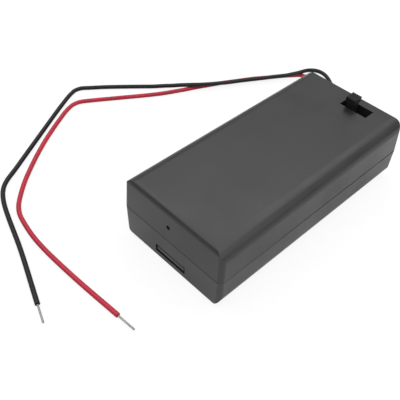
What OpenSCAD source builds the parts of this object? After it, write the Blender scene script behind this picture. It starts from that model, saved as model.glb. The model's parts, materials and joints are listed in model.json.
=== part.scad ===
// Covered holder for two AA cells in series, with a slide switch and two free leads.
// The case is an open tray that faces down. The cover closes it from below: it slides a little
// towards -X, until its ledges are past the case's lugs, and then lifts off.
// X runs along the cells, the switch and the leads are at +X, and the cover's outer face lies at z = 0.

/* [Box] */
// Width of the closed box at the seam
box_w = 33.4; // [33.4:0.2:40]
// Height of the closed box without the switch knob
box_h = 19.1; // [19:0.1:24]
// Height of the seam between cover and case
seam_z = 9.65; // [8.5:0.05:11]
// Width of the seam at the latch
seam_gap = 0.06; // [0.04:0.02:0.2]
// How much wider the seam is at the switch end, where nothing holds the cover up
seam_taper = 0.16; // [0.05:0.01:0.2]
// Radius of the case's two long upper edges
top_r = 3.5; // [2:0.1:4]
// Radius of the cover's two long lower edges
base_r = 4.4; // [3:0.1:5]
// Radius of the case's upper edge at the latch end
top_near_r = 1.5; // [0.4:0.1:2]
// Radius of the case's upper edge at the switch end
top_far_r = 0.4; // [0.2:0.1:1]
// Radius of the cover's lower edges at the ends
base_end_r = 1.2; // [0.4:0.1:1.5]
// Radius of the four upright corners
corner_r = 1.5; // [0.4:0.1:1.8]
// Radius of the small edge break at the seam
edge_break = 0.12; // [0.08:0.02:0.2]
// Draft angle of the case's long sides
side_draft = 2.2; // [0.5:0.1:3]
// Draft angle of the case's ends
end_draft = 2.5; // [0.5:0.1:3]
// Draft angle of the cover's sides and end
cover_draft = 1.2; // [0.5:0.1:1.5]

/* [Walls] */
// Thickness of the case's face
top_wall = 1.5; // [1.2:0.1:1.8]
// Thickness of the case's long sides at the seam
side_wall = 2; // [1.9:0.05:2.3]
// Thickness of the case's end wall behind the switch
end_wall = 1.5; // [1.2:0.1:2]
// Thickness of the case's wall behind the cover's end
inner_end_wall = 1; // [0.8:0.1:1.4]
// Thickness of the wall between the cells and the switch
divider_t = 1; // [0.8:0.1:1.4]
// Thickness of the cover's sides
cover_wall = 1.2; // [1.1:0.05:1.35]
// Thickness of the cover's floor
cover_floor = 1.5; // [1.2:0.1:1.8]
// Thickness of the cover's end
cover_end = 1.1; // [1:0.1:1.4]
// Radius inside the case's long upper edges
inner_top_r = 2; // [1:0.1:2.4]

/* [Sliding fit] */
// Clearance between the cover and the case all round
slide_gap = 0.2; // [0.15:0.01:0.25]
// How far each lug of the case stands out
lug_out = 0.45; // [0.35:0.05:0.5]
// Height of each lug
lug_h = 0.8; // [0.6:0.1:1.2]
// Height of the lugs' lower faces
lug_z = 5.3; // [5:0.1:6]
// Length of each lug, and of the cover's ledge above it
lug_l = 8; // [6:0.5:9]
// Distance between lugs along the box
lug_pitch = 24; // [20:1:26]

/* [Latch window] */
// Width of the window in the cover's end
window_w = 10.2; // [8:0.2:14]
// Height of the window
window_h = 2.4; // [1.8:0.1:3]
// Height of the window's lower edge
window_z = 2.4; // [2.1:0.1:3.5]
// Thickness of the lip below the window
window_lip = 0.35; // [0.3:0.05:0.6]
// Room left below the latch tab
tab_gap_low = 0.9; // [0.3:0.05:1]
// Room left above the latch tab
tab_gap_high = 0.4; // [0.1:0.05:0.5]
// Room left beside the latch tab towards -Y
tab_gap_right = 0.3; // [0.1:0.05:0.6]
// Room left beside the latch tab towards +Y
tab_gap_left = 0.6; // [0.2:0.05:0.8]
// How far the tab stays behind the cover's end face
tab_recess = 0.15; // [0.1:0.05:0.5]

/* [Gate mark] */
// Diameter of the sunk gate mark on the near end
gate_d = 1.2; // [0.6:0.1:1.4]
// Depth of the gate mark
gate_depth = 0.5; // [0.1:0.05:0.6]
// Place of the gate mark across the box
gate_y = 0.7; // [-2:0.1:2]
// Height of the gate mark
gate_z = 14.1; // [12:0.1:16]

/* [Finger grip] */
// Number of grip grooves across the cover
grip_n = 5; // [3:1:7]
// Distance between grip grooves
grip_pitch = 1.8; // [1.4:0.1:2.2]
// Width of a grip groove
grip_w = 0.8; // [0.5:0.1:1.1]
// Length of a grip groove
grip_l = 14; // [8:0.5:18]
// Depth of a grip groove
grip_d = 0.3; // [0.2:0.05:0.5]
// Distance from the cover's end to the first grip groove
grip_from_end = 6; // [4:0.5:12]

/* [Cells] */
// Diameter of a cell
cell_d = 14.5; // [13.5:0.1:14.5]
// Length of a cell
cell_l = 50.5; // [49.5:0.1:51]
// Play above a cell
cell_play = 0.15; // [0.1:0.05:0.3]
// Play along a cell
cell_end_play = 0.1; // [0.05:0.05:0.3]
// How far the ridge between the cells stands down
ridge_h = 4.4; // [3:0.1:5]

/* [Contacts] */
// Thickness of the contact strip
plate_t = 0.4; // [0.3:0.05:0.45]
// Width of the slot that holds a contact strip
plate_slot = 0.5; // [0.5:0.05:0.7]
// Height of a contact plate
plate_h = 10.4; // [9:0.2:11]
// Thickness of the ribs in front of a contact plate
holder_t = 0.8; // [0.8:0.1:1.2]
// Width of the ribs in front of a contact plate
holder_w = 1; // [0.8:0.1:1.4]
// How far the ribs' feet stay above the feet of the cross walls
holder_lift = 1.8; // [1:0.1:2.6]
// Half width of the wall that parts the two plates
parting_half = 0.5; // [0.4:0.05:0.8]
// Play at each side edge of a contact plate
plate_play = 0.15; // [0.05:0.05:0.25]
// Height of the embossed nub that meets a cell's cap
nub_h = 0.8; // [0.5:0.05:0.8]
// Radius of the nub at the plate
nub_r = 3; // [2.5:0.1:3.5]
// How much smaller the nub's face is than its foot
nub_taper = 1; // [0.6:0.1:1.4]
// Width of a contact's solder tag
tag_w = 3; // [2.4:0.1:3.4]
// Length of a solder tag beyond the divider
tag_l = 3.9; // [3.8:0.1:4.6]
// Place of the negative contact's tag across the box
tag_y = 2.5; // [2.3:0.1:2.7]
// Clearance round a tag in the divider
tag_gap = 0.15; // [0.1:0.05:0.25]

/* [Springs] */
// Working length of a spring
spring_l = 5.2; // [4.6:0.1:6]
// Diameter of the spring wire
wire_d = 0.7; // [0.5:0.05:0.8]
// Radius of a spring's coil at its plate
coil_base_r = 4.7; // [4.2:0.1:4.9]
// Radius of a spring's coil at the cell
coil_tip_r = 2.8; // [2.2:0.1:3.4]
// Number of turns
coil_turns = 4.5; // [3.5:0.5:5]

/* [Switch] */
// Length of the slot in the case's face, along the knob's travel
slot_l = 8.4; // [8:0.1:9]
// Width of the slot
slot_w = 3.6; // [3.2:0.1:4]
// Place of the slot's centre across the box
slot_y = -4.4; // [-5:0.1:-4]
// Distance from the switch's centre to the case's end
switch_from_end = 5.05; // [5:0.05:5.2]
// Place of the switch's centre across the box
switch_y = -4; // [-4.4:0.1:-3.8]
// Depth of the collar behind the case's face
collar_h = 1.6; // [1:0.1:2]
// Wall of the collar
collar_wall = 0.8; // [0.6:0.05:0.8]
// Length of the knob along its travel
knob_l = 2.8; // [2.2:0.1:2.8]
// Width of the knob
knob_w = 3.1; // [2.2:0.1:3.2]
// Height of the knob above the case's face
knob_h = 2.9; // [2:0.05:3.5]
// Height of the knob's head
head_h = 1.5; // [1:0.1:1.8]
// How far the head stands out over the knob's stem
head_out = 0.25; // [0.1:0.05:0.3]
// Number of ridges across the knob
ridge_n = 5; // [3:1:7]
// Radius of the grooves between the ridges
ridge_r = 0.13; // [0.1:0.01:0.16]
// Travel of the knob
travel = 2.2; // [1.8:0.1:2.4]
// Height of the slider below the knob's stem
slider_h = 1.3; // [1.1:0.05:1.4]
// Thickness of the moving contact
bridge_t = 0.25; // [0.2:0.05:0.3]
// How far the moving contact reaches past a terminal's middle
bridge_past = 0.8; // [0.6:0.05:0.9]
// Length of the switch's housing
housing_l = 10.4; // [10.4:0.1:10.8]
// Width of the switch's housing
housing_w = 4.6; // [4.4:0.1:4.8]
// Height of the switch's housing
housing_h = 3.6; // [3.4:0.1:4]
// Wall of the switch's housing
housing_wall = 0.5; // [0.4:0.05:0.6]
// Thickness of the ribs at the switch's ends
pocket_t = 0.8; // [0.6:0.1:1]
// Clearance at the switch's ends
pocket_gap = 0.1; // [0.05:0.05:0.2]
// How far those ribs reach down beside the switch
pocket_reach = 2.4; // [1.6:0.1:3]
// Thickness of the switch's base
base_t = 1.05; // [0.8:0.05:1.1]
// Distance between the switch's terminals
terminal_pitch = 2.5; // [2.3:0.1:2.6]
// Width of a terminal's head
head_w = 1.8; // [1.4:0.1:2]
// Width of a terminal blade
blade_w = 1.2; // [0.9:0.1:1.3]
// Thickness of a terminal blade
blade_t = 0.5; // [0.4:0.05:0.6]
// Length of a terminal blade below the base
blade_l = 2.9; // [2.6:0.1:3.4]
// Running clearance inside the switch
switch_gap = 0.2; // [0.12:0.01:0.22]
// Clearance between the moving contact and the terminals
bridge_gap = 0.05; // [0.02:0.01:0.08]

/* [Leads] */
// Outer diameter of a lead's insulation
lead_d = 1.3; // [1.1:0.05:1.4]
// Diameter of a lead's twisted strands
strand_d = 0.48; // [0.4:0.02:0.6]
// Diameter of a lead's tinned end
tip_d = 0.52; // [0.4:0.02:0.8]
// Length of a lead's tinned end
tip_l = 5.4; // [3:0.1:8]
// Diameter of the holes for the leads
lead_hole_d = 1.6; // [1.5:0.05:1.8]
// Radius of a solder joint
solder_r = 0.95; // [0.8:0.05:1.1]
// Height of a solder joint above a blade's end
joint_lift = 0.9; // [0.8:0.05:1.2]
// Distance from the black lead's joint to its tag's end
joint_inset = 1.2; // [1:0.05:1.5]
// How far a wire runs on past the middle of its joint
wire_past = 0.7; // [0.5:0.05:0.9]
// Length of the bare strands between a joint and the insulation
strand_l = 1.8; // [1.5:0.1:2.2]
// Diameter of the link wire between switch and contact
link_d = 0.6; // [0.5:0.05:0.7]

/* [Hidden] */
$fn = 48;
past = 1;        // how far a cutting shape runs past the face it cuts
touch = 0.02;    // gap between faces that rest on each other

// The box's length is what lies in a row along a cell
plate_play_x = (plate_slot - plate_t) / 2;
plate_face = plate_play_x + plate_t;
stack = plate_slot + holder_t;
bay_l = stack + cell_l + cell_end_play + spring_l + plate_face;
near_l = cover_end + slide_gap + inner_end_wall;
far_l = divider_t + collar_wall + slot_w / 2 + switch_from_end;
box_l = near_l + bay_l + far_l;

// The case above the seam
case_z = seam_z + seam_gap / 2;
case_h = box_h - case_z;
ceiling_z = box_h - top_wall;
inner_half_w = box_w / 2 - side_wall;

// The channel inside the cover
channel_half_w = box_w / 2 - cover_wall;
channel_r = base_r - cover_wall;
web_y = channel_half_w - slide_gap;
groove_y = channel_half_w + lug_out;
cover_x0 = cover_end - box_l / 2;
cover_z1 = seam_z - seam_gap / 2;

// Lengthwise places of the bays and the switch room
bay_x0 = near_l - box_l / 2;
switch_x = box_l / 2 - switch_from_end;
room_x1 = box_l / 2 - end_wall;
far_face_x = box_l / 2 - edge_break;
room_x0 = switch_x - slot_w / 2 - collar_wall;
bay_x1 = room_x0 - divider_t;
holder_z0 = cover_floor + slide_gap + holder_lift;

// Cells and contacts
cell_y = inner_half_w / 2;
cell_z = ceiling_z - cell_play - cell_d / 2;
plate_z = cell_z - plate_h / 2;
tag_z1 = plate_z + plate_t;

// Switch
housing_z1 = ceiling_z - collar_h;
housing_z0 = housing_z1 - housing_h;
slider_z1 = housing_z1 - housing_wall - switch_gap;
slider_l = housing_l - 2 * housing_wall - travel - 2 * switch_gap;
slider_w = housing_w - 2 * housing_wall - 2 * switch_gap;
knob_y = switch_y + travel / 2;
bridge_z1 = slider_z1 - slider_h;
bridge_l = terminal_pitch + 2 * bridge_past;
base_z0 = housing_z0;
head_z0 = base_z0 + base_t;
head_z1 = bridge_z1 - bridge_t - bridge_gap;
blade_z0 = base_z0 - blade_l;
joint_z = blade_z0 + joint_lift;

// Wire places beside the terminals
blade_face_x = switch_x + blade_t / 2;
link_x = blade_face_x + link_d / 2 + touch;
strand_x = blade_face_x + strand_d / 2 + touch;

// Leads: their holes in the end wall, their points inside as seen from the hole's inner mouth, and
// their routes over the surface that the box stands on
lead_z = 3.2;
lead_y = [8.6, 11.2];
black_inside = [
    [-3.45, -3.3, 2.4], [-3.15, -2, 1.8], [-2.15, -0.7, 0.9], [-0.75, -0.1, 0.2], [1.25, 0, 0]
];
red_inside = [
    [-3.05, -10, 7.1], [-3.05, -6.8, 5.8], [-3.05, -3.8, 3.2], [-2.75, -2, 1.6],
    [-1.85, -0.7, 0.6], [-0.45, -0.1, 0.1], [1.25, 0, 0]
];
black_route = [
    [36.5, 8.6, 3], [40.5, 9, 2], [45, 10.9, 1], [49.5, 13.8, 0.66], [53.4, 17.2, 0.66],
    [56.7, 21.2, 0.66], [59, 25, 0.66], [59.3, 28, 0.72], [57.7, 29.9, 1.05],
    [54.7, 30.7, 1.75], [52.2, 31.1, 2.06], [49.8, 31.9, 2.12], [47.4, 33.1, 1.96],
    [44.6, 35, 1.8], [40.9, 37.3, 1.64], [36, 40.5, 1.42], [31, 43.1, 1.5], [26.4, 45.2, 1.95],
    [23.5, 46.9, 2.08], [20.7, 48.9, 2.16], [18, 51.7, 1.8], [14.8, 55.4, 1.02], [10.3, 59.4, 0.66],
    [0, 68, 0.66], [-5, 71.7, 0.66], [-7.4, 73.3, 0.66], [-10, 73.4, 0.66],
    [-16.3, 70.3, 0.66], [-30, 62.2, 0.66], [-43, 54.4, 0.66], [-48.3, 51.2, 0.66],
    [-51, 48, 0.66], [-53.4, 42.6, 0.66], [-57.9, 28.4, 0.66], [-63.7, 12.2, 0.66]
];
red_route = [
    [36.5, 11.3, 3], [40.5, 12.2, 2], [44.6, 14.3, 1.05], [48.3, 17.8, 0.66], [51, 21.5, 0.66],
    [52.9, 25.2, 0.66], [53.6, 28.4, 0.66], [52.8, 31, 0.66], [50.6, 32.8, 0.66],
    [48.4, 34.4, 0.66], [43.7, 37.3, 0.66], [39.4, 40.1, 0.66], [34.4, 42.8, 0.66],
    [29.5, 45.4, 0.66], [25, 47.5, 0.66], [21.1, 49.3, 0.66], [17.3, 50.9, 0.66],
    [9.6, 54.6, 0.66], [-1.9, 61.7, 0.66], [-9.1, 66.2, 0.66], [-12.1, 67.7, 0.66],
    [-15.1, 67.6, 0.66], [-20, 65.3, 0.66], [-31.6, 58.1, 0.66], [-42.1, 50, 0.66],
    [-47.5, 44.8, 0.66], [-50.6, 40.9, 0.66], [-52.1, 37, 0.66], [-53.4, 27.8, 0.66],
    [-53.2, 14, 0.66], [-52.1, -2.5, 0.66]
];
lead_sides = 8;

// A profile drawn in Y and Z, extruded along X from x0 to x1
module along_x(x0, x1) {
    translate([x0, 0, 0])
        rotate([90, 0, 90])
            linear_extrude(x1 - x0)
                children();
}

// A profile drawn in X and Z, extruded along Y over the width w
module along_y(w) {
    translate([0, w / 2, 0])
        rotate([90, 0, 0])
            linear_extrude(w)
                children();
}

// A block given by two opposite corners
module block(low, high) {
    translate(low)
        cube(high - low);
}

// A round rod between two points
module rod(from, to, d) {
    v = to - from;
    translate(from)
        rotate([0, acos(v.z / norm(v)), atan2(v.y, v.x)])
            cylinder(h = norm(v), d = d);
}

// The centre of the rounded edge between a drafted wall and the closed face
function edge_centre(half, h, draft, r) = [half - (h - r) * tan(draft) - r / cos(draft), h - r];

// A moulded shell seen from one side: wide at its rim on the axis, drawn in by its draft, with a
// rounded edge of its own radius at each side of its closed face
module drafted_profile(half, h, draft, radii) {
    way = [cos(draft), sin(draft)];
    left = edge_centre(half, h, draft, radii[0]);
    right = edge_centre(half, h, draft, radii[1]);
    left_end = left + radii[0] * way;
    rim = half - edge_break;
    shoulder = half - edge_break * tan(draft);
    polygon([
        [-rim, 0], [rim, 0], [shoulder, edge_break], right + radii[1] * way, [right.x, h],
        [-left.x, h], [-left_end.x, left_end.y], [-shoulder, edge_break]
    ]);
    translate([-left.x, left.y])
        circle(radii[0]);
    translate(right)
        circle(radii[1]);
}

// What the rounding takes off one upright, drafted corner. Its cylinder stands out of the two faces
// by a hair, so that it crosses them and doesn't run along them.
module corner_cutter(sx, sy, h, side_angle, end_angle) {
    lift = 0.03;
    translate([sx * box_l / 2, sy * box_w / 2, 0])
        rotate([sy * side_angle, -sx * end_angle, 0])
            to_corner(sx, sy)
                difference() {
                    block([-corner_r, -corner_r, -past], [past, past, h + past]);
                    translate([lift - corner_r, lift - corner_r, -2 * past])
                        cylinder(h = h + 4 * past, r = corner_r);
                }
}

// Turns a corner drawn for +X and +Y to another of the four corners
module to_corner(sx, sy) {
    mirror([sx < 0 ? 1 : 0, 0, 0])
        mirror([0, sy < 0 ? 1 : 0, 0])
            children();
}

// The outer form of one moulding, with its rim at z = 0
module moulding(h, side_angle, end_angle, side_r, end_radii) {
    difference() {
        intersection() {
            along_x(-box_l / 2 - past, box_l / 2 + past)
                drafted_profile(box_w / 2, h, side_angle, [side_r, side_r]);
            along_y(box_w + 2 * past)
                drafted_profile(box_l / 2, h, end_angle, end_radii);
        }
        for (sx = [-1, 1], sy = [-1, 1])
            corner_cutter(sx, sy, h, side_angle, end_angle);
    }
}

// The cover's inner channel, drawn in by gap all round
module channel_profile(gap, top) {
    half = channel_half_w - gap;
    r = channel_r - gap;
    foot = cover_floor + gap;
    polygon([
        [-half, top], [-half, foot + r], [r - half, foot],
        [half - r, foot], [half, foot + r], [half, top]
    ]);
    for (s = [-1, 1])
        translate([s * (half - r), foot + r])
            circle(r);
}

// The tray's inner outline, open below
module tray_profile() {
    r = inner_top_r;
    half = inner_half_w;
    polygon([
        [-half, 0], [half, 0], [half, ceiling_z - r], [half - r, ceiling_z],
        [r - half, ceiling_z], [-half, ceiling_z - r]
    ]);
    for (s = [-1, 1])
        translate([s * (half - r), ceiling_z - r])
            circle(r);
}

// One long side below the seam: a thin web with three lugs along its foot
module skirt() {
    block([cover_x0 + slide_gap, inner_half_w, lug_z], [far_face_x, web_y, case_z + touch]);
    for (i = [-1:1])
        block(
            [i * lug_pitch - lug_l / 2, inner_half_w, lug_z],
            [i * lug_pitch + lug_l / 2, web_y + lug_out, lug_z + lug_h]
        );
}

// The ledges of the cover's side that lie over the lugs
module ledges() {
    for (i = [-1:1])
        block(
            [i * lug_pitch - lug_l / 2, channel_half_w, lug_z + lug_h + slide_gap],
            [i * lug_pitch + lug_l / 2, groove_y + touch, cover_z1 - seam_taper - edge_break]
        );
}

// A cross wall of the case that fits inside the cover's channel below the seam
module cross_wall(x0, x1) {
    along_x(x0, x1)
        channel_profile(slide_gap, case_z + touch);
}

// Ribs that stand in front of a contact plate, on the side walls and in the middle
module plate_holders(x0) {
    high = ceiling_z + touch;
    for (s = [0, 1])
        mirror([0, s, 0])
            block([x0, inner_half_w - holder_w, holder_z0], [x0 + holder_t, inner_half_w + touch, high]);
    block(
        [x0, -parting_half - holder_w, holder_z0],
        [x0 + holder_t, parting_half + holder_w, high]
    );
}

// The ridge between the cells, hollowed by their two troughs
module cell_ridge() {
    trough_r = cell_d / 2 + cell_play;
    x0 = bay_x0 + stack;
    x1 = bay_x1 - stack;
    difference() {
        block([x0, -cell_y / 2, ceiling_z - ridge_h], [x1, cell_y / 2, ceiling_z + touch]);
        for (s = [-1, 1])
            translate([x0 - past, s * cell_y, cell_z])
                rotate([0, 90, 0])
                    cylinder(h = x1 - x0 + 2 * past, r = trough_r);
    }
}

// The collar and the two ribs that hold the switch under the face
module switch_seat() {
    block(
        [switch_x - slot_w / 2 - collar_wall, slot_y - slot_l / 2 - collar_wall, housing_z1],
        [switch_x + slot_w / 2 + collar_wall, slot_y + slot_l / 2 + collar_wall, ceiling_z + touch]
    );
    for (s = [-1, 1])
        translate([0, switch_y + s * (housing_l / 2 + pocket_gap + pocket_t / 2), 0])
            block(
                [room_x0 - touch, -pocket_t / 2, housing_z1 - pocket_reach],
                [room_x1 + touch, pocket_t / 2, ceiling_z + touch]
            );
}

// The latch tab that stands in the cover's window
module latch_tab() {
    block(
        [tab_recess - box_l / 2, tab_gap_right - window_w / 2, window_z + tab_gap_low],
        [bay_x0, window_w / 2 - tab_gap_left, window_z + window_h - tab_gap_high]
    );
}

module case() {
    color("#545454")
        difference() {
            union() {
                difference() {
                    union() {
                        translate([0, 0, case_z])
                            moulding(case_h, side_draft, end_draft, top_r, [top_near_r, top_far_r]);
                        cross_wall(cover_x0 + slide_gap, bay_x0);
                        cross_wall(bay_x1, room_x0);
                        cross_wall(room_x1, far_face_x);
                    }
                    along_x(bay_x0, bay_x1)
                        tray_profile();
                    along_x(room_x0, room_x1)
                        tray_profile();
                }
                for (s = [0, 1])
                    mirror([0, s, 0])
                        skirt();
                latch_tab();
                cell_ridge();
                plate_holders(bay_x0 + plate_slot);
                plate_holders(bay_x1 - stack);
                block(
                    [bay_x1 - stack, -parting_half, holder_z0],
                    [bay_x1 + touch, parting_half, ceiling_z + touch]
                );
                switch_seat();
            }
            // The slot for the knob
            block(
                [switch_x - slot_w / 2, slot_y - slot_l / 2, housing_z1 - past],
                [switch_x + slot_w / 2, slot_y + slot_l / 2, box_h + past]
            );
            // The holes for the two leads
            for (y = lead_y)
                translate([room_x1 - past, y, lead_z])
                    rotate([0, 90, 0])
                        cylinder(h = end_wall + 2 * past, d = lead_hole_d);
            // The slots for the two solder tags
            for (y = [tag_y, switch_y])
                block(
                    [bay_x1 - past, y - tag_w / 2 - tag_gap, plate_z - tag_gap],
                    [room_x0 + past, y + tag_w / 2 + tag_gap, tag_z1 + tag_gap]
                );
            // The sunk gate mark on the end
            translate([-box_l / 2 - past, gate_y, gate_z])
                rotate([0, 90, 0])
                    cylinder(h = past + gate_depth + (gate_z - case_z) * tan(end_draft), d = gate_d);
        }
}

module cover() {
    color("#4d4d4d") {
        difference() {
            translate([0, 0, cover_z1])
                mirror([0, 0, 1])
                    moulding(cover_z1, cover_draft, cover_draft, base_r, [base_end_r, base_end_r]);
            along_x(cover_x0, box_l / 2 + past)
                channel_profile(0, seam_z + past);
            // The rim falls away towards the switch end
            translate([-box_l / 2, 0, cover_z1])
                rotate([0, atan(seam_taper / box_l), 0])
                    block([0, -box_w / 2 - past, 0], [box_l + past, box_w / 2 + past, past]);
            // The wall is thinner above the lugs' feet, so that they can pass
            block(
                [cover_x0, -groove_y, lug_z - slide_gap],
                [box_l / 2 + past, groove_y, seam_z + past]
            );
            // The latch window, and the hollow behind its lip
            block(
                [-box_l / 2 - past, -window_w / 2, window_z],
                [cover_x0 + past, window_w / 2, window_z + window_h]
            );
            block(
                [window_lip - box_l / 2, -window_w / 2, cover_floor],
                [cover_x0 + past, window_w / 2, window_z + touch]
            );
            // The grip grooves
            for (i = [0:grip_n - 1])
                translate([grip_from_end - box_l / 2 + i * grip_pitch, 0, 0])
                    block([-grip_w / 2, -grip_l / 2, -past], [grip_w / 2, grip_l / 2, grip_d]);
        }
        for (s = [0, 1])
            mirror([0, s, 0])
                ledges();
    }
}

// The round, stamped nub of a contact plate, standing towards +X from x = 0
module nub(outer) {
    r = outer ? nub_r : nub_r - plate_t;
    foot = outer ? 0 : -plate_t;
    translate([foot, 0, 0])
        rotate([0, 90, 0])
            cylinder(h = nub_h, r1 = r, r2 = r - nub_taper);
}

// A flat plate with an optional nub at y_nub; dir is the way that its face looks along X
module contact_plate(x_back, dir, y0, y1, y_nub, has_nub) {
    translate([x_back, 0, 0])
        mirror([dir < 0 ? 1 : 0, 0, 0])
            difference() {
                union() {
                    block([0, y0, plate_z], [plate_t, y1, plate_z + plate_h]);
                    if (has_nub)
                        translate([plate_t, y_nub, cell_z])
                            nub(true);
                }
                if (has_nub)
                    translate([plate_t, y_nub, cell_z])
                        nub(false);
            }
}

// The solder tag that is bent back from a plate through the divider
module solder_tag(y) {
    block(
        [bay_x1 - plate_face, y - tag_w / 2, plate_z],
        [room_x0 + tag_l, y + tag_w / 2, tag_z1]
    );
}

module link_contact() {
    color("#c9c9c4")
        contact_plate(bay_x0 + plate_play_x, 1, plate_play - inner_half_w,
            inner_half_w - plate_play, cell_y, true);
}

module negative_contact() {
    color("#c9c9c4") {
        contact_plate(bay_x1 - plate_play_x, -1, parting_half + plate_play,
            inner_half_w - plate_play, 0, false);
        solder_tag(tag_y);
    }
}

module positive_contact() {
    color("#c9c9c4") {
        contact_plate(bay_x1 - plate_play_x, -1, plate_play - inner_half_w,
            -parting_half - plate_play, -cell_y, true);
        solder_tag(switch_y);
    }
}

// The rings of a tube: each is an eight-sided loop round its point, square to the path there
function flat_side(v) = cross(v, [0, 0, 1]) / norm(cross(v, [0, 0, 1]));
function path_way(path, i) = path[min(i + 1, len(path) - 1)] - path[max(i - 1, 0)];
function ring_points(p, way, r, n) =
    let (u = flat_side(way), w = cross(u, way) / norm(way))
    [for (k = [0:n - 1]) p + r * (cos((k + 0.5) * 360 / n) * u + sin((k + 0.5) * 360 / n) * w)];

// A closed skin through rings of n points each
module skin(rings, n) {
    last = len(rings) - 1;
    polyhedron(
        points = [for (ring = rings) each ring],
        faces = [
            [for (k = [0:n - 1]) k],
            for (i = [0:last - 1], k = [0:n - 1])
                [i * n + k, (i + 1) * n + k, (i + 1) * n + (k + 1) % n, i * n + (k + 1) % n],
            [for (k = [n - 1:-1:0]) last * n + k]
        ],
        convexity = 8
    );
}

// A lead's insulation along its route
module tube(path, d) {
    skin([for (i = [0:len(path) - 1]) ring_points(path[i], path_way(path, i), d / 2, lead_sides)],
        lead_sides);
}

// A conical compression spring along +X, its wide end at x = 0
module cone_spring() {
    n = 8;
    step = 20;
    sweep = coil_turns * 360;
    run = spring_l - wire_d;
    rings = [
        for (a = [0:step:sweep])
            let (
                t = a / sweep,
                r = coil_base_r + (coil_tip_r - coil_base_r) * t,
                out = [0, cos(a), sin(a)],
                centre = r * out + [wire_d / 2 + run * t, 0, 0]
            )
            [for (k = [0:n - 1])
                centre + wire_d / 2 * (cos(k * 360 / n) * out + sin(k * 360 / n) * [1, 0, 0])]
    ];
    mirror([0, 1, 0])
        skin(rings, n);
}

module link_spring() {
    color("#b9b9b4")
        translate([bay_x0 + plate_face + touch, -cell_y, cell_z])
            cone_spring();
}

module negative_spring() {
    color("#b9b9b4")
        translate([bay_x1 - plate_face - touch, cell_y, cell_z])
            mirror([1, 0, 0])
                cone_spring();
}

module switch_housing() {
    window_l = knob_l + travel + 2 * switch_gap;
    window_x = knob_w / 2 + switch_gap;
    color("#262626")
        translate([switch_x, switch_y, 0])
            difference() {
                block(
                    [-housing_w / 2, -housing_l / 2, housing_z0],
                    [housing_w / 2, housing_l / 2, housing_z1 - touch]
                );
                block(
                    [housing_wall - housing_w / 2, housing_wall - housing_l / 2, housing_z0 - past],
                    [housing_w / 2 - housing_wall, housing_l / 2 - housing_wall,
                        housing_z1 - housing_wall]
                );
                block(
                    [-window_x, -window_l / 2, housing_z0],
                    [window_x, window_l / 2, housing_z1 + past]
                );
            }
}

module switch_base() {
    half_w = housing_w / 2 - housing_wall - touch;
    half_l = housing_l / 2 - housing_wall - touch;
    color("#4a3424")
        translate([switch_x, switch_y, 0])
            difference() {
                block([-half_w, -half_l, base_z0], [half_w, half_l, head_z0 - touch]);
                for (i = [-1:1])
                    translate([0, i * terminal_pitch, 0])
                        block(
                            [-blade_t / 2 - touch, -blade_w / 2 - touch, base_z0 - past],
                            [blade_t / 2 + touch, blade_w / 2 + touch, head_z0 + past]
                        );
            }
}

// A riveted terminal: a flat head above the base and a blade below it; place counts from the middle
module terminal(place) {
    color("#c2b280")
        translate([switch_x, switch_y + place * terminal_pitch, 0]) {
            block([-head_w / 2, -blade_w / 2, head_z0], [head_w / 2, blade_w / 2, head_z1]);
            block([-blade_t / 2, -blade_w / 2, blade_z0], [blade_t / 2, blade_w / 2, head_z1]);
        }
}

module terminal_output() {
    terminal(1);
}

module terminal_common() {
    terminal(0);
}

module terminal_spare() {
    terminal(-1);
}

// The sliding piece: a block inside the housing, a stem through the window and a ridged head
module switch_knob() {
    ridge_pitch = knob_l / ridge_n;
    knob_z1 = box_h + knob_h;
    color("#1c1c1c")
        translate([switch_x, knob_y, 0])
            difference() {
                union() {
                    block(
                        [-slider_w / 2, -slider_l / 2, bridge_z1],
                        [slider_w / 2, slider_l / 2, slider_z1]
                    );
                    block(
                        [head_out - knob_w / 2, head_out - knob_l / 2, slider_z1 - touch],
                        [knob_w / 2 - head_out, knob_l / 2 - head_out, knob_z1 - head_h + touch]
                    );
                    block(
                        [-knob_w / 2, -knob_l / 2, knob_z1 - head_h],
                        [knob_w / 2, knob_l / 2, knob_z1]
                    );
                }
                for (i = [1:ridge_n - 1])
                    translate([0, i * ridge_pitch - knob_l / 2, knob_z1])
                        rotate([0, 90, 0])
                            cylinder(h = knob_w + 2 * past, r = ridge_r, center = true);
            }
}

// The moving contact under the slider, which joins two neighbouring terminals
module switch_bridge() {
    color("#c9a227")
        translate([switch_x, knob_y, 0])
            block(
                [-slider_w / 4, -bridge_l / 2, bridge_z1 - bridge_t],
                [slider_w / 4, bridge_l / 2, bridge_z1 - touch]
            );
}

module link_wire() {
    color("#c8c8c8")
        rod(
            [link_x, switch_y, tag_z1 + touch],
            [link_x, switch_y, joint_z + wire_past],
            link_d
        );
}

// A solder fillet on the blade's face, round a wire that runs past it
module blade_solder(y) {
    difference() {
        translate([blade_face_x + touch, y, joint_z])
            sphere(solder_r);
        block(
            [blade_face_x - 2 * solder_r, y - 2 * solder_r, joint_z - 2 * solder_r],
            [blade_face_x + touch, y + 2 * solder_r, joint_z + 2 * solder_r]
        );
        children();
    }
}

// A solder dome on a tag's upper face
module tag_solder(x, y) {
    difference() {
        translate([x, y, tag_z1 + touch])
            sphere(solder_r);
        block(
            [x - 2 * solder_r, y - 2 * solder_r, tag_z1 - 2 * solder_r],
            [x + 2 * solder_r, y + 2 * solder_r, tag_z1 + touch]
        );
        children();
    }
}

module solder_common() {
    color("#b5b5b5")
        blade_solder(switch_y)
            rod([link_x, switch_y, tag_z1], [link_x, switch_y, housing_z0], link_d + touch);
}

module solder_output() {
    at = red_joint();
    color("#b5b5b5")
        blade_solder(at.y)
            cross_hole(at);
}

module solder_positive() {
    color("#b5b5b5")
        tag_solder(link_x, switch_y)
            rod([link_x, switch_y, tag_z1 - past], [link_x, switch_y, joint_z], link_d + touch);
}

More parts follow.
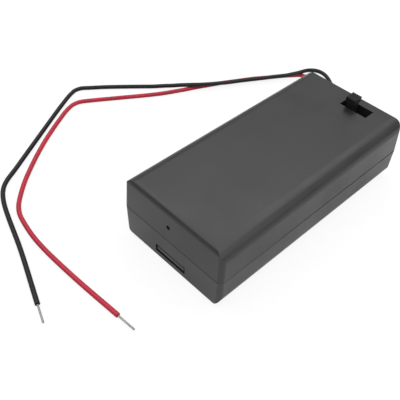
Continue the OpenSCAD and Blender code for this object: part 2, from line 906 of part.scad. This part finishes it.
module solder_negative() {
    at = black_joint();
    color("#b5b5b5")
        tag_solder(at.x, at.y)
            cross_hole(at);
}

// The middle of each lead's joint, and the lead's path from there: the insulation starts where the
// strands end, goes through the hole in the end wall and then follows its route
function black_joint() = [room_x0 + tag_l - joint_inset, tag_y, tag_z1 + strand_d / 2 + touch];
function red_joint() = [strand_x, switch_y + terminal_pitch, joint_z];
function lead_path(joint, inside, hole_y, route) = concat(
    [joint + [0, strand_l, 0]],
    [for (p = inside) p + [room_x1, hole_y, lead_z]],
    route
);
function black_path() = lead_path(black_joint(), black_inside, lead_y[0], black_route);
function red_path() = lead_path(red_joint(), red_inside, lead_y[1], red_route);

// The hole that a lead's strands leave in their joint
module cross_hole(at) {
    reach = [0, 2 * solder_r, 0];
    rod(at - reach, at + reach, strand_d + touch);
}

// The bare strands between a lead's insulation and its joint
module strands(at) {
    color("#c8a070")
        rod(at + [0, strand_l - touch, 0], at - [0, wire_past, 0], strand_d);
}

module black_strands() {
    strands(black_joint());
}

module red_strands() {
    strands(red_joint());
}

module black_lead() {
    color("#1e1e1e")
        tube(black_path(), lead_d);
}

module red_lead() {
    color("#c8283c")
        tube(red_path(), lead_d);
}

// The tinned end that goes on straight from a lead's last point
module tinned_tip(path) {
    end = path[len(path) - 1];
    way = end - path[len(path) - 2];
    unit = way / norm(way);
    rod(end + touch * unit, end + tip_l * unit, tip_d);
}

module black_tip() {
    color("#a8a8a8")
        tinned_tip(black_path());
}

module red_tip() {
    color("#a8a8a8")
        tinned_tip(red_path());
}

case();
cover();
link_contact();
link_spring();
negative_contact();
negative_spring();
positive_contact();
switch_housing();
switch_base();
terminal_output();
terminal_common();
terminal_spare();
switch_knob();
switch_bridge();
link_wire();
solder_common();
solder_output();
solder_positive();
solder_negative();
black_strands();
red_strands();
black_lead();
red_lead();
black_tip();
red_tip();
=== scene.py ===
import json
import math
import bmesh
import bpy
from mathutils import Matrix, Vector


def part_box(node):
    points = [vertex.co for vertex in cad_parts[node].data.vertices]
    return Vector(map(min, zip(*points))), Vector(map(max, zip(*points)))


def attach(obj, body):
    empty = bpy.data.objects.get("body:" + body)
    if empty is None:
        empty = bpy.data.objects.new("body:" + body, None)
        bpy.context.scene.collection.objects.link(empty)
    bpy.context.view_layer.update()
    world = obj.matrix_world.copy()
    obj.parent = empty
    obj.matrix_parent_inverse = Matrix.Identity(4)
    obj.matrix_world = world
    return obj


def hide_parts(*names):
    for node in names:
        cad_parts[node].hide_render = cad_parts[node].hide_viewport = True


# Covered holder for two AA cells, with a slide switch and two free leads

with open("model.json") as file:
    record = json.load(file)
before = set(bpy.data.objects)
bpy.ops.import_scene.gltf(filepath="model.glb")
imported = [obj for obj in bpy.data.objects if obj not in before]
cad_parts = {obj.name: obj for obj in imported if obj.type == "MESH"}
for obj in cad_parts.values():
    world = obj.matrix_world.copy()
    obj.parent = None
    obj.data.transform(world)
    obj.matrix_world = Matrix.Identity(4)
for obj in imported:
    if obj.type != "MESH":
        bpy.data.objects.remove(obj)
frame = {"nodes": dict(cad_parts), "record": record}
bpy.context.view_layer.update()
nodes = frame["nodes"]
print("frame loaded:", len(nodes), "nodes")


camera = {
    "place": (-0.09472, -0.068016, 0.118008),
    "right": (0.72185054, -0.6912082, 0.03410313),
    "down": (-0.47981424, -0.53537968, -0.69508769),
    "ahead": (0.49870843, 0.48538626, -0.71811564),
    "lens": 54.744,
    "sensorWidth": 36,
    "clip": (0.005, 20),
}


def makeCamera():
    data = bpy.data.cameras.new("camera")
    data.lens = camera["lens"]
    data.sensor_width = camera["sensorWidth"]
    data.clip_start, data.clip_end = camera["clip"]
    eye = bpy.data.objects.new("camera", data)
    bpy.context.scene.collection.objects.link(eye)
    rows = (camera["right"], -Vector(camera["down"]), -Vector(camera["ahead"]))
    turn = Matrix(rows).transposed().to_4x4()
    eye.matrix_world = Matrix.Translation(camera["place"]) @ turn
    bpy.context.scene.camera = eye


makeCamera()
print("camera set")


# leads, in millimetres as in the CAD source
leads = {
    "diameter": 1.3,
    "roundness": 5,
    "stepsPerKnot": 8,
    "black": {
        "replaces": "black_lead",
        "length": 214,
        "points": [
            (29.3, 4.3, 5.66), (29.3, 5.3, 5.6), (29.6, 6.6, 5), (30.6, 7.9, 4.1),
            (32, 8.5, 3.4), (34, 8.6, 3.2), (36.5, 8.6, 3), (40.5, 9, 2), (45, 10.9, 1),
            (49.5, 13.8, 0.66), (53.4, 17.2, 0.66), (56.7, 21.2, 0.66), (59, 25, 0.66),
            (59.3, 28, 0.72), (57.7, 29.9, 1.05), (54.7, 30.7, 1.75), (52.2, 31.1, 2.06),
            (49.8, 31.9, 2.12), (47.4, 33.1, 1.96), (44.6, 35, 1.8), (40.9, 37.3, 1.64),
            (36, 40.5, 1.42), (31, 43.1, 1.5), (26.4, 45.2, 1.95), (23.5, 46.9, 2.08),
            (20.7, 48.9, 2.16), (18, 51.7, 1.8), (14.8, 55.4, 1.02), (10.3, 59.4, 0.66),
            (0, 68, 0.66), (-5, 71.7, 0.66), (-7.4, 73.3, 0.66), (-10, 73.4, 0.66),
            (-16.3, 70.3, 0.66), (-30, 62.2, 0.66), (-43, 54.4, 0.66), (-48.3, 51.2, 0.66),
            (-51, 48, 0.66), (-53.4, 42.6, 0.66), (-57.9, 28.4, 0.66), (-63.7, 12.2, 0.66),
        ],
    },
    "red": {
        "replaces": "red_lead",
        "length": 214,
        "points": [
            (29.71, 0.3, 10.4), (29.7, 1.2, 10.3), (29.7, 4.4, 9), (29.7, 7.4, 6.4),
            (30, 9.2, 4.8), (30.9, 10.5, 3.8), (32.3, 11.1, 3.3), (34, 11.2, 3.2),
            (36.5, 11.3, 3), (40.5, 12.2, 2), (44.6, 14.3, 1.05), (48.3, 17.8, 0.66),
            (51, 21.5, 0.66), (52.9, 25.2, 0.66), (53.6, 28.4, 0.66), (52.8, 31, 0.66),
            (50.6, 32.8, 0.66), (48.4, 34.4, 0.66), (43.7, 37.3, 0.66), (39.4, 40.1, 0.66),
            (34.4, 42.8, 0.66), (29.5, 45.4, 0.66), (25, 47.5, 0.66), (21.1, 49.3, 0.66),
            (17.3, 50.9, 0.66), (9.6, 54.6, 0.66), (-1.9, 61.7, 0.66), (-9.1, 66.2, 0.66),
            (-12.1, 67.7, 0.66), (-15.1, 67.6, 0.66), (-20, 65.3, 0.66), (-31.6, 58.1, 0.66),
            (-42.1, 50, 0.66), (-47.5, 44.8, 0.66), (-50.6, 40.9, 0.66), (-52.1, 37, 0.66),
            (-53.4, 27.8, 0.66), (-53.2, 14, 0.66), (-52.1, -2.5, 0.66),
        ],
    },
}


def metres(point):
    return Vector(point) / 1000


def wayThrough(before, here, after):
    # along the curve in plan, and never steeper than the flatter side, so no dip under the floor
    slopes = [(b.z - a.z) / (b - a).length for a, b in ((before, here), (here, after))]
    rise = 0 if slopes[0] * slopes[1] <= 0 else min(slopes, key=abs)
    plan = (after - before).xy.normalized() * math.sqrt(1 - rise * rise)
    return Vector((plan.x, plan.y, rise))


def makeTube(name, roundness, stepsPerKnot):
    curve = bpy.data.curves.new(name, "CURVE")
    curve.dimensions = "3D"
    curve.bevel_depth = 1  # the knots' radii give the thickness
    curve.bevel_resolution = roundness
    curve.resolution_u = stepsPerKnot
    curve.use_fill_caps = True
    return curve


def makeLead(name, values):
    points = [metres(p) for p in values["points"]]
    last = len(points) - 1
    curve = makeTube(name, leads["roundness"], leads["stepsPerKnot"])
    spline = curve.splines.new("BEZIER")
    spline.bezier_points.add(last)
    for i, here in enumerate(points):
        before = points[max(i - 1, 0)]
        after = points[min(i + 1, last)]
        if i in (0, last):
            way = (after - before).normalized()
        else:
            way = wayThrough(before, here, after)
        knot = spline.bezier_points[i]
        knot.handle_left_type = knot.handle_right_type = "FREE"
        knot.co = here
        knot.radius = leads["diameter"] / 2000
        knot.handle_left = here - way * (here - before).length / 3
        knot.handle_right = here + way * (after - here).length / 3
    lead = bpy.data.objects.new(name, curve)
    bpy.context.scene.collection.objects.link(lead)
    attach(lead, "case_body")
    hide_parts(values["replaces"])
    return lead


# tinned ends, in millimetres: a lobed outline drawn out with a slow twist, and a rounded end
tip = {
    "diameter": 0.52,
    "length": 5.4,
    "strands": 7,
    "turns": 1.6,
    "lobeDepth": 0.14,
    "outlinePoints": 42,
    "steps": 30,
    "endLength": 0.04,
    "endScales": (0.9, 0.6),
    "gap": 0.02,  # to the insulation's cut face
}


def makeTip(name, node, points):
    end, inner = metres(points[-1]), metres(points[-2])
    way = (end - inner).normalized()
    mesh = bmesh.new()
    ring = bmesh.ops.create_circle(mesh, segments=tip["outlinePoints"], radius=tip["diameter"] / 2,
                                   cap_ends=False)["verts"]
    for v in ring:
        lobe = abs(math.cos(math.atan2(v.co.y, v.co.x) * tip["strands"] / 2))
        v.co *= 1 - tip["lobeDepth"] + tip["lobeDepth"] * lobe

    def drawOut(edges, length):
        drawn = bmesh.ops.extrude_edge_only(mesh, edges=edges)["geom"]
        moved = [g for g in drawn if isinstance(g, bmesh.types.BMVert)]
        bmesh.ops.translate(mesh, verts=moved, vec=(0, 0, length))
        return [g for g in drawn if isinstance(g, bmesh.types.BMEdge)], moved

    edges = [e for e in mesh.edges]
    stepLength = (tip["length"] - tip["endLength"]) / tip["steps"]
    stepTurn = Matrix.Rotation(tip["turns"] * math.tau / tip["steps"], 3, "Z")
    for i in range(tip["steps"]):
        edges, moved = drawOut(edges, stepLength)
        bmesh.ops.rotate(mesh, verts=moved, cent=(0, 0, 0), matrix=stepTurn)
    shoulder, nose = tip["endScales"]
    bmesh.ops.scale(mesh, verts=moved, vec=(shoulder, shoulder, 1))
    edges, moved = drawOut(edges, tip["endLength"])
    bmesh.ops.scale(mesh, verts=moved, vec=(nose, nose, 1))
    bmesh.ops.holes_fill(mesh, edges=[e for e in mesh.edges if e.is_boundary], sides=0)
    bmesh.ops.recalc_face_normals(mesh, faces=mesh.faces)
    for f in mesh.faces:
        f.smooth = len(f.verts) == 4
    turn = way.to_track_quat("Z", "Y").to_matrix().to_4x4()
    place = Matrix.Translation(end + way * tip["gap"] / 1000) @ turn
    bmesh.ops.transform(mesh, matrix=place @ Matrix.Scale(0.001, 4), verts=mesh.verts)
    data = bpy.data.meshes.new(name)
    mesh.to_mesh(data)
    mesh.free()
    piece = bpy.data.objects.new(name, data)
    bpy.context.scene.collection.objects.link(piece)
    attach(piece, "case_body")
    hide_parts(node)
    return piece


blackLead = makeLead("blackLead", leads["black"])
redLead = makeLead("redLead", leads["red"])
blackTip = makeTip("blackTip", "black_tip", leads["black"]["points"])
redTip = makeTip("redTip", "red_tip", leads["red"]["points"])
print("leads laid")


# springs, in millimetres: round wire in the place of the CAD springs
springs = {
    "wire": 0.7,
    "turns": 4.5,
    "wide": 4.7,
    "narrow": 2.8,
    "knotsPerTurn": 16,
    "roundness": 4,
    "stepsPerKnot": 3,
    "height": 10.2,
    "link_spring": {"side": 1, "across": -7.35},
    "negative_spring": {"side": -1, "across": 7.35},
}


def makeSpring(node):
    low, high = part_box(node)
    side = springs[node]["side"]
    centre = (springs[node]["across"] / 1000, springs["height"] / 1000)
    base = (low.x if side > 0 else high.x) + side * springs["wire"] / 2000
    reach = high.x - low.x - springs["wire"] / 1000
    curve = makeTube(node, springs["roundness"], springs["stepsPerKnot"])
    spline = curve.splines.new("BEZIER")
    count = round(springs["turns"] * springs["knotsPerTurn"])
    spline.bezier_points.add(count)
    for i, knot in enumerate(spline.bezier_points):
        t = i / count
        a = t * springs["turns"] * math.tau
        r = (springs["wide"] + (springs["narrow"] - springs["wide"]) * t) / 1000
        knot.handle_left_type = knot.handle_right_type = "AUTO"
        knot.radius = springs["wire"] / 2000
        knot.co = (base + side * reach * t,
                   centre[0] - r * math.cos(a), centre[1] + r * math.sin(a))
    spring = bpy.data.objects.new(node + "_wire", curve)
    bpy.context.scene.collection.objects.link(spring)
    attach(spring, "case_body")
    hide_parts(node)
    return spring


wires = [makeSpring(n) for n in ("link_spring", "negative_spring")]
print("springs wound")


class Wire:
    # wraps a socket, so that 0.25 + 0.16 * mottle adds its Math nodes
    def __init__(self, finish, socket):
        self.finish = finish
        self.socket = socket

    def sum(self, operation, first, second):
        return self.finish.add("Math", {"operation": operation}, {0: first, 1: second})

    def __add__(self, other):
        return self.sum("ADD", self, other)

    def __radd__(self, other):
        return self.sum("ADD", other, self)

    def __mul__(self, other):
        return self.sum("MULTIPLY", self, other)

    def __rmul__(self, other):
        return self.sum("MULTIPLY", other, self)


def setStops(ramp, stops):
    while len(ramp.elements) < len(stops):
        ramp.elements.new(1)
    for element, (place, level) in zip(ramp.elements, stops):
        element.position = place
        element.color = (level, level, level, 1)


def tone(colour, factor):
    return tuple(c * factor for c in colour) + (1,)


class Finish:
    # the nodes of one material, or of the world
    def __init__(self, owner):
        self.owner = owner
        owner.use_nodes = True
        self.tree = owner.node_tree
        self.tree.nodes.clear()

    def add(self, kind, settings=None, inputs=None, output=0):
        node = self.tree.nodes.new("ShaderNode" + kind)
        for key, value in (settings or {}).items():
            if key == "stops":
                setStops(node.color_ramp, value)
            else:
                setattr(node, key, value)
        for key, value in (inputs or {}).items():
            if isinstance(value, Wire):
                self.tree.links.new(value.socket, node.inputs[key])
            else:
                node.inputs[key].default_value = value
        return Wire(self, node.outputs[output])

    def skin(self, **sockets):
        names = {"colour": "Base Color", "roughness": "Roughness", "metallic": "Metallic",
                 "specular": "Specular IOR Level", "normal": "Normal"}
        return self.add("BsdfPrincipled", {}, {names[k]: v for k, v in sockets.items()})

    def close(self, shader, kind="Material"):
        out = self.tree.nodes.new("ShaderNodeOutput" + kind)
        self.tree.links.new(shader.socket, out.inputs["Surface"])
        return self.owner

    def place(self, scale=(1, 1, 1)):
        at = self.add("TexCoord", output="Object")
        return self.add("Mapping", {}, {"Vector": at, "Scale": scale})

    def noise(self, at, values):
        return self.add("TexNoise", {}, {"Vector": at, "Scale": values["scale"],
                                         "Detail": values["detail"], "Roughness": values["rough"]})

    def ramp(self, value, stops):
        return self.add("ValToRGB", {"stops": stops}, {"Fac": value})

    def patches(self, at, values):
        low, high = values["span"]
        return self.ramp(self.noise(at, values), [(low, 0), (high, 1)])

    def blend(self, amount, first, second):
        return self.add("MixRGB", {}, {"Fac": amount, "Color1": first, "Color2": second})

    def tones(self, amount, values):
        first, second = (tone(values["colour"], factor) for factor in values["tones"])
        return self.blend(amount, first, second)

    def bump(self, height, values):
        return self.add("Bump", {}, {"Height": height, "Distance": values["depth"],
                                     "Strength": values["strength"]})


# in every finish below, mottle runs from the first tone to the second and adds "rougher"
shellPlastic = {
    "colour": (0.0158, 0.0161, 0.0163),
    "tones": (0.9, 1.1),
    "roughness": 0.25,
    "rougher": 0.16,
    "specular": 0.5,
    "mottle": {"scale": 70, "detail": 3, "rough": 0.55, "span": (0.3, 0.7)},
    "grain": {"scale": 5200, "detail": 1, "rough": 0.5, "depth": 0.000012, "strength": 0.5},
}

# a smudge on the case beside the slot: rougher there, and its colour darkened as a painted
# reflection of the black knob
smudgeAndKnobReflection = {
    "centre": (0.0246, -0.0063, 0.0191),
    "size": (0.0036, 0.0056, 0.004),
    "edge": {"scale": 400, "detail": 3, "rough": 0.6},
    "ragged": 0.5,
    "stops": [(0.3, 1), (1, 0)],
    "darkest": 0.6,
    "strength": 0.5,
    "rougher": 0.08,
}

switchPlastic = {
    "colour": (0.004, 0.004, 0.0042),
    "tones": (0.8, 1.3),
    "roughness": 0.55,
    "rougher": 0.1,
    "specular": 0.35,
    "mottle": {"scale": 600, "detail": 3, "rough": 0.6, "span": (0.35, 0.65)},
    "grain": {"scale": 3800, "detail": 2, "rough": 0.5, "depth": 0.00001, "strength": 0.4},
}

insulation = {
    "tones": (0.88, 1.1),
    "rougher": 0.07,
    "mottle": {"scale": 140, "detail": 2, "rough": 0.5, "span": (0.3, 0.7)},
    "grain": {"scale": 900, "detail": 2, "rough": 0.5, "depth": 0.00002, "strength": 0.35},
}
blackInsulation = {
    **insulation, "colour": (0.004, 0.0044, 0.0048), "roughness": 0.32, "specular": 0.3,
}
redInsulation = {
    **insulation, "colour": (0.4, 0.0074, 0.0275), "roughness": 0.33, "specular": 0.38,
}


def makePlastic(name, values, withSmudgeAndReflection=False):
    finish = Finish(bpy.data.materials.new(name))
    at = finish.place()
    mottle = finish.patches(at, values["mottle"])
    colour = finish.tones(mottle, values)
    rough = values["roughness"] + values["rougher"] * mottle
    if withSmudgeAndReflection:
        # painted reflection: the knob's dark reflection beside the slot, painted into the base
        # colour; the smudge itself only adds roughness
        offset = finish.add("VectorMath", {"operation": "SUBTRACT"}, {0: at, 1: smudgeAndKnobReflection["centre"]})
        scaled = finish.add("VectorMath", {"operation": "DIVIDE"}, {0: offset, 1: smudgeAndKnobReflection["size"]})
        far = finish.add("VectorMath", {"operation": "LENGTH"}, {0: scaled}, "Value")
        ragged = far + smudgeAndKnobReflection["ragged"] * finish.noise(at, smudgeAndKnobReflection["edge"])
        smudgeAndReflectionMask = finish.ramp(ragged, smudgeAndKnobReflection["stops"])
        dark = tone(values["colour"], smudgeAndKnobReflection["darkest"])
        colour = finish.blend(smudgeAndReflectionMask * smudgeAndKnobReflection["strength"], colour, dark)
        rough = rough + smudgeAndKnobReflection["rougher"] * smudgeAndReflectionMask
    grain = finish.noise(at, values["grain"])
    return finish.close(finish.skin(colour=colour, roughness=rough, specular=values["specular"],
                                    normal=finish.bump(grain, values["grain"])))


# "brush" stretches the grain along the way the metal was drawn or rolled
metals = {
    "contact": {"colour": (0.62, 0.6, 0.56), "roughness": 0.28, "brush": (40, 2600, 2600)},
    "spring": {"colour": (0.6, 0.6, 0.6), "roughness": 0.22, "brush": (300, 300, 300)},
    "terminal": {"colour": (0.75, 0.6, 0.32), "roughness": 0.3, "brush": (2000, 2000, 200)},
    "bridge": {"colour": (0.8, 0.55, 0.25), "roughness": 0.25, "brush": (2000, 200, 2000)},
    "solder": {"colour": (0.58, 0.58, 0.6), "roughness": 0.24, "brush": (700, 700, 700)},
    "copper": {"colour": (0.83, 0.45, 0.3), "roughness": 0.3, "brush": (3000, 300, 3000)},
    "tin": {"colour": (0.37, 0.37, 0.37), "roughness": 0.34, "brush": (1500, 1500, 1500)},
}
tarnish = {
    "tones": (1, 0.78),
    "rougher": 0.16,
    "mottle": {"scale": 350, "detail": 3, "rough": 0.6, "span": (0.35, 0.75)},
    "grain": {"scale": 1, "detail": 3, "rough": 0.6, "depth": 0.000008, "strength": 0.3},
}


def makeMetal(name):
    values = {**tarnish, **metals[name]}
    finish = Finish(bpy.data.materials.new(name + "Metal"))
    grain = finish.noise(finish.place(values["brush"]), values["grain"])
    mottle = finish.patches(finish.place(), values["mottle"])
    return finish.close(finish.skin(colour=finish.tones(mottle, values),
                                    roughness=values["roughness"] + values["rougher"] * mottle,
                                    metallic=1.0, normal=finish.bump(grain, values["grain"])))


hardPaper = {
    "colour": (0.09, 0.045, 0.02),
    "tones": (1.2, 0.75),
    "roughness": 0.55,
    "rougher": 0.1,
    "stretch": (200, 200, 4000),  # thin layers, one above the other
    "layers": {"scale": 1, "detail": 2, "rough": 0.5, "depth": 0.00001, "strength": 0.4},
    "specks": {"scale": 2200, "detail": 2, "rough": 0.5, "span": (0.4, 0.65)},
}


def makeHardPaper():
    values = hardPaper
    finish = Finish(bpy.data.materials.new("hardPaper"))
    layers = finish.noise(finish.place(values["stretch"]), values["layers"])
    specks = finish.patches(finish.place(), values["specks"])
    return finish.close(finish.skin(colour=finish.tones(specks, values),
                                    roughness=values["roughness"] + values["rougher"] * layers,
                                    normal=finish.bump(layers, values["layers"])))


finishes = {
    "case": makePlastic("casePlastic", shellPlastic, withSmudgeAndReflection=True),
    "cover": makePlastic("coverPlastic", shellPlastic),
    "switch_plastic": makePlastic("switchPlastic", switchPlastic),
    "switch_base": makeHardPaper(),
    "black_insulation": makePlastic("blackInsulation", blackInsulation),
    "red_insulation": makePlastic("redInsulation", redInsulation),
}
for metal in metals:
    finishes[metal] = makeMetal(metal)

slots = {s["node"]: s["material_slot"] for s in frame["record"]["subparts"]}
for node, piece in nodes.items():
    for materialSlot in piece.material_slots:
        materialSlot.material = finishes[slots[node]]
for slotName, pieces in (("black_insulation", [blackLead]), ("red_insulation", [redLead]),
                         ("tin", [blackTip, redTip]), ("spring", wires)):
    for piece in pieces:
        piece.data.materials.append(finishes[slotName])
print("finishes made:", len(finishes))


# floor, lamp and sky, in metres
studio = {
    "floor": {
        "colour": (0.65, 0.65, 0.65),
        "tones": (0.99, 1.01),
        "roughness": 0.9,
        "specular": 0.1,
        "paper": {"scale": 30, "detail": 2, "rough": 0.5},
        "halfWidth": 3,
        "squares": 8,
        "drop": 0.00003,
        "white": 0.86,
        "shade": 0.2,
        "mirrored": 0.3,
    },
    "skyStrength": 3,
    "sky": [(0, 0.1), (0.12, 0.03), (0.27, 0.2), (0.43, 0.18), (0.6, 0.2), (0.78, 0.9), (1, 0.28)],
    "fill": {"place": (0.25, -0.7, 0.35), "size": 0.5, "watts": 0.8},
}


def makeFloorFinish():
    values = studio["floor"]
    finish = Finish(bpy.data.materials.new("floorPaper"))
    paper = finish.noise(finish.place(), values["paper"])
    plain = finish.skin(colour=finish.tones(paper, values), roughness=values["roughness"],
                        specular=values["specular"])
    shade = finish.add("BsdfDiffuse", {}, {"Color": tone(values["colour"], values["shade"])})
    white = finish.add("Emission", {}, {"Color": (1, 1, 1, 1), "Strength": values["white"]})
    lit = finish.add("AddShader", {}, {0: shade, 1: white})
    # gloss shows a share of the same white, and keeps the shadow at the foot of the box
    direct, mirrored, through = (finish.add("LightPath", output="Is " + kind + " Ray")
                                 for kind in ("Camera", "Glossy", "Transmission"))
    seen = direct + through + mirrored * values["mirrored"]
    return finish.close(finish.add("MixShader", {}, {0: seen, 1: plain, 2: lit}))


def makeFloor():
    values = studio["floor"]
    mesh = bmesh.new()
    bmesh.ops.create_grid(mesh, x_segments=values["squares"], y_segments=values["squares"],
                          size=values["halfWidth"])
    bmesh.ops.translate(mesh, verts=mesh.verts, vec=(0, 0, -values["drop"]))
    data = bpy.data.meshes.new("floor")
    mesh.to_mesh(data)
    mesh.free()
    floor = bpy.data.objects.new("floor", data)
    bpy.context.scene.collection.objects.link(floor)
    data.materials.append(makeFloorFinish())


def makeLamp(name):
    values = studio[name]
    data = bpy.data.lights.new(name, "AREA")
    data.shape = "SQUARE"
    data.size = values["size"]
    data.energy = values["watts"]
    lamp = bpy.data.objects.new(name, data)
    bpy.context.scene.collection.objects.link(lamp)
    place = Vector(values["place"])
    turn = place.to_track_quat("Z", "Y").to_matrix().to_4x4()
    lamp.matrix_world = Matrix.Translation(place) @ turn


def makeSky():
    # a soft light tent: dim along the horizon, brightest in a band high up
    sky = Finish(bpy.data.worlds.new("studio"))
    height = sky.add("SeparateXYZ", {}, {0: sky.add("TexCoord", output="Generated")}, "Z")
    level = sky.ramp(height, studio["sky"])
    light = sky.add("Background", {}, {"Color": level, "Strength": studio["skyStrength"]})
    bpy.context.scene.world = sky.close(light, "World")


makeFloor()
makeLamp("fill")
makeSky()
bpy.context.scene.view_settings.view_transform = "Standard"
print("studio set")
